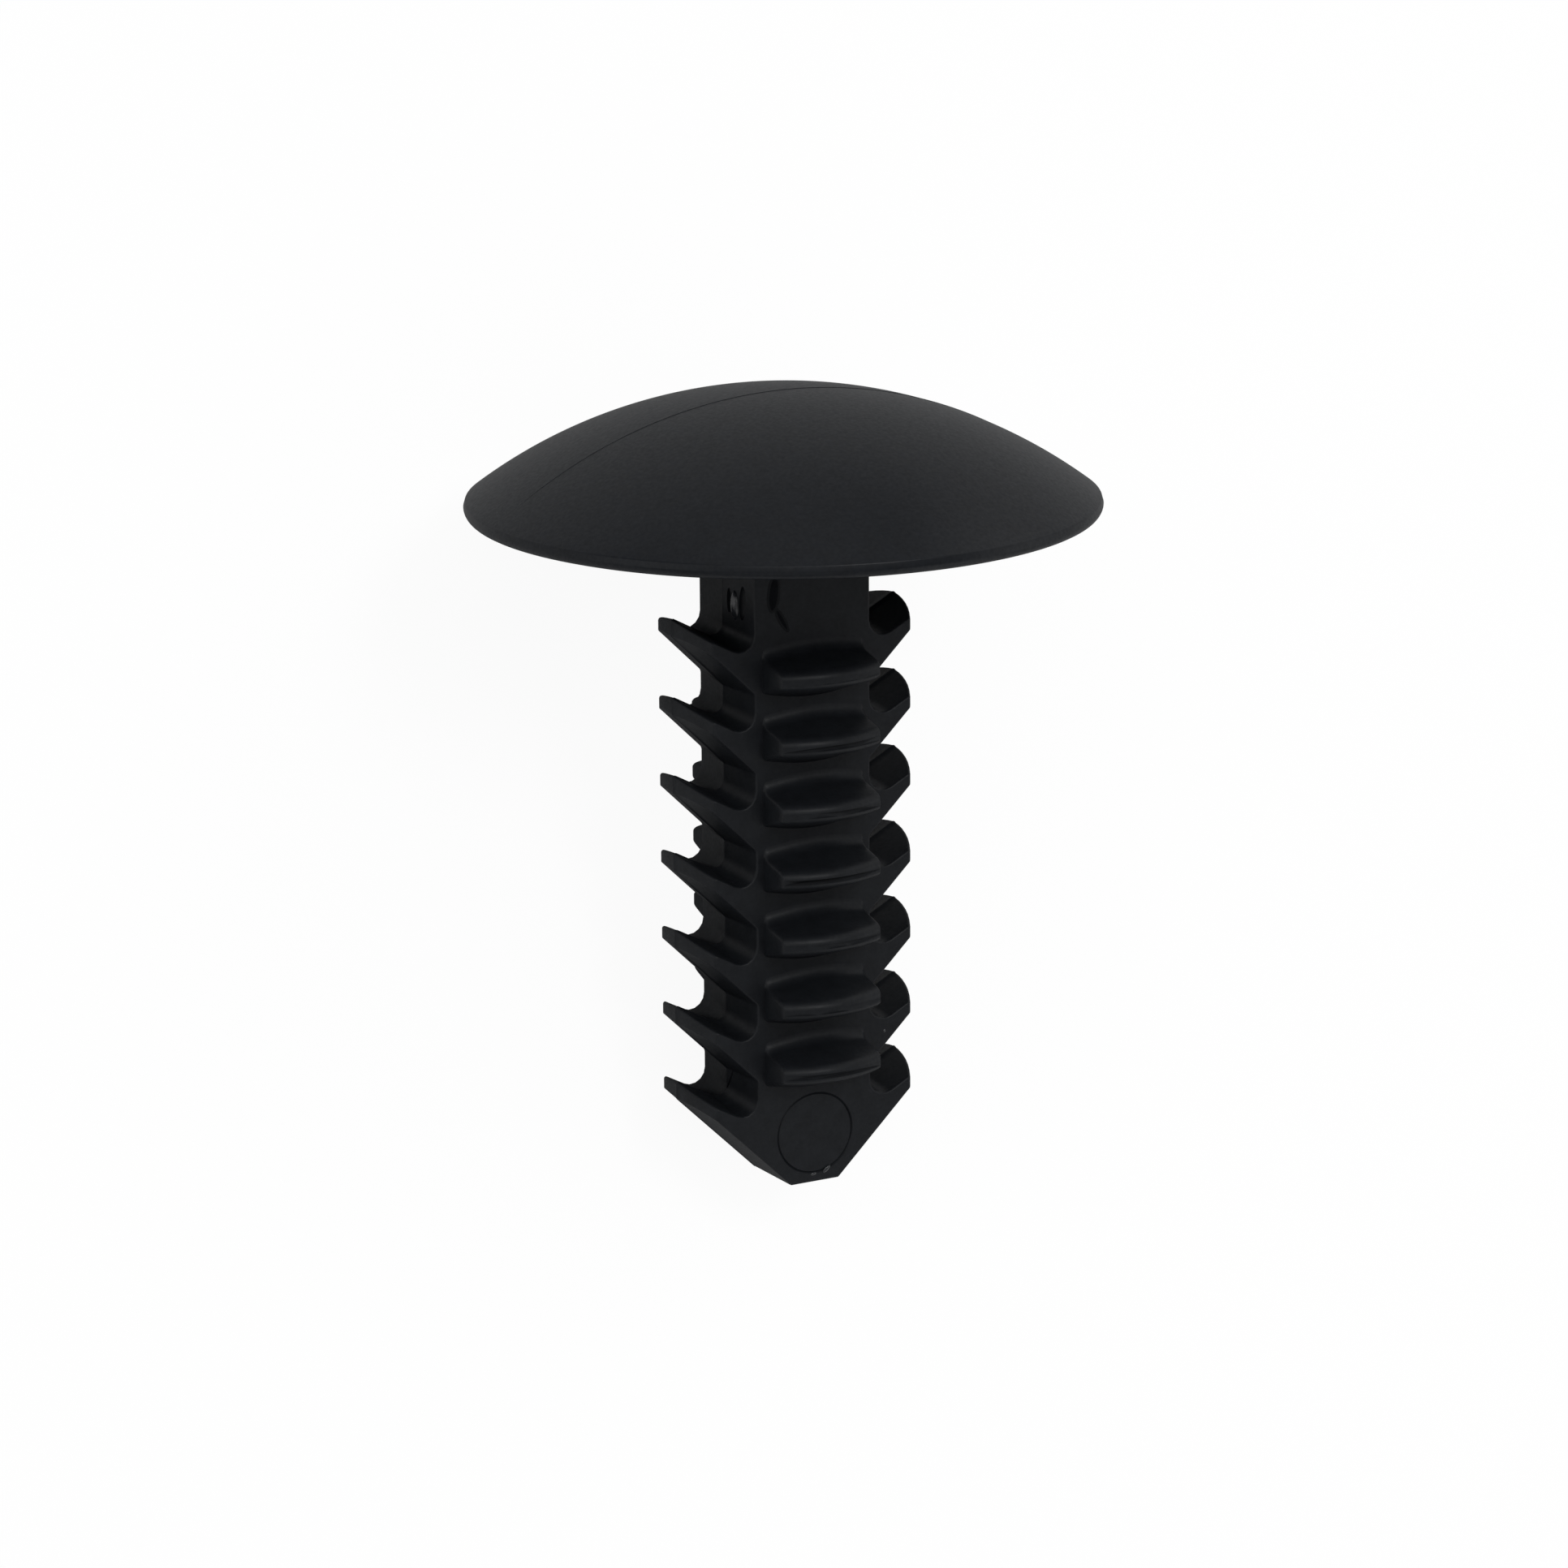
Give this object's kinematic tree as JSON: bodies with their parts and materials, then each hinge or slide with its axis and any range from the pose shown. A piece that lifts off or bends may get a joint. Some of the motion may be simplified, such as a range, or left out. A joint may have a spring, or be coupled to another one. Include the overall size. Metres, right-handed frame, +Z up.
{
  "type": "plastic push rivet",
  "caption": "Black nylon push rivet with a low domed head and a drafted shank that carries slanted side barbs and rounded cross ledges down to a blunt tip.",
  "frame": {"origin": "the bottom centre of its box, on the floor that it lies on", "axes": "+Y points along the floor from the tip to the head, +Z points up, and the front row of ledges faces up"},
  "size_m": [0.018, 0.023, 0.017],
  "materials": {
    "black_nylon": "fine matt moulded black nylon"
  },
  "bodies": {
    "root": {"push_rivet": "black_nylon"}
  },
  "joints": []
}
